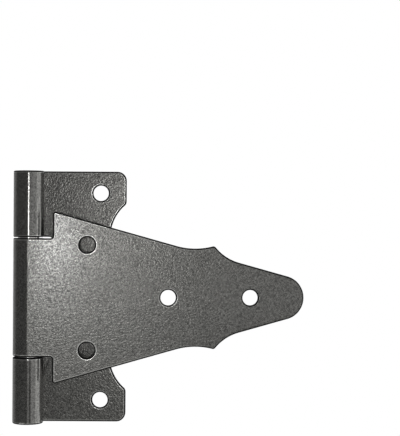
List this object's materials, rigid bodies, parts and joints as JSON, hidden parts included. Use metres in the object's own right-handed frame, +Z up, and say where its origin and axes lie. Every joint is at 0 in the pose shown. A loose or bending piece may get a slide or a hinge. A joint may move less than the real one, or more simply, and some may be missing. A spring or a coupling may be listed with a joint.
{
  "type": "tee hinge",
  "caption": "Tee hinge with a tapered strap and a cross plate, both rolled round one upright pin, with round screw holes.",
  "frame": {"origin": "midway between the tee plate's two screw holes, on its back face", "axes": "+Z up along the pin, +X from the pin towards the strap's tip when closed, +Y into the post behind the tee plate"},
  "size_m": [0.1072, 0.0113, 0.0928],
  "materials": {
    "hammered_paint": "dark pewter hammered metallic paint, satin",
    "pin_steel": "plain drawn steel rod"
  },
  "bodies": {
    "tee": {"tee_plate": "hammered_paint", "hinge_pin": "pin_steel"},
    "strap": {"strap_leaf": "hammered_paint"}
  },
  "joints": [
    {"name": "strap_swing", "type": "hinge", "parent": "tee", "child": "strap", "pos_m": [-0.0262, -0.00565, 0], "axis": [0, 0, -1], "range_deg": [-9.4, 294]}
  ]
}
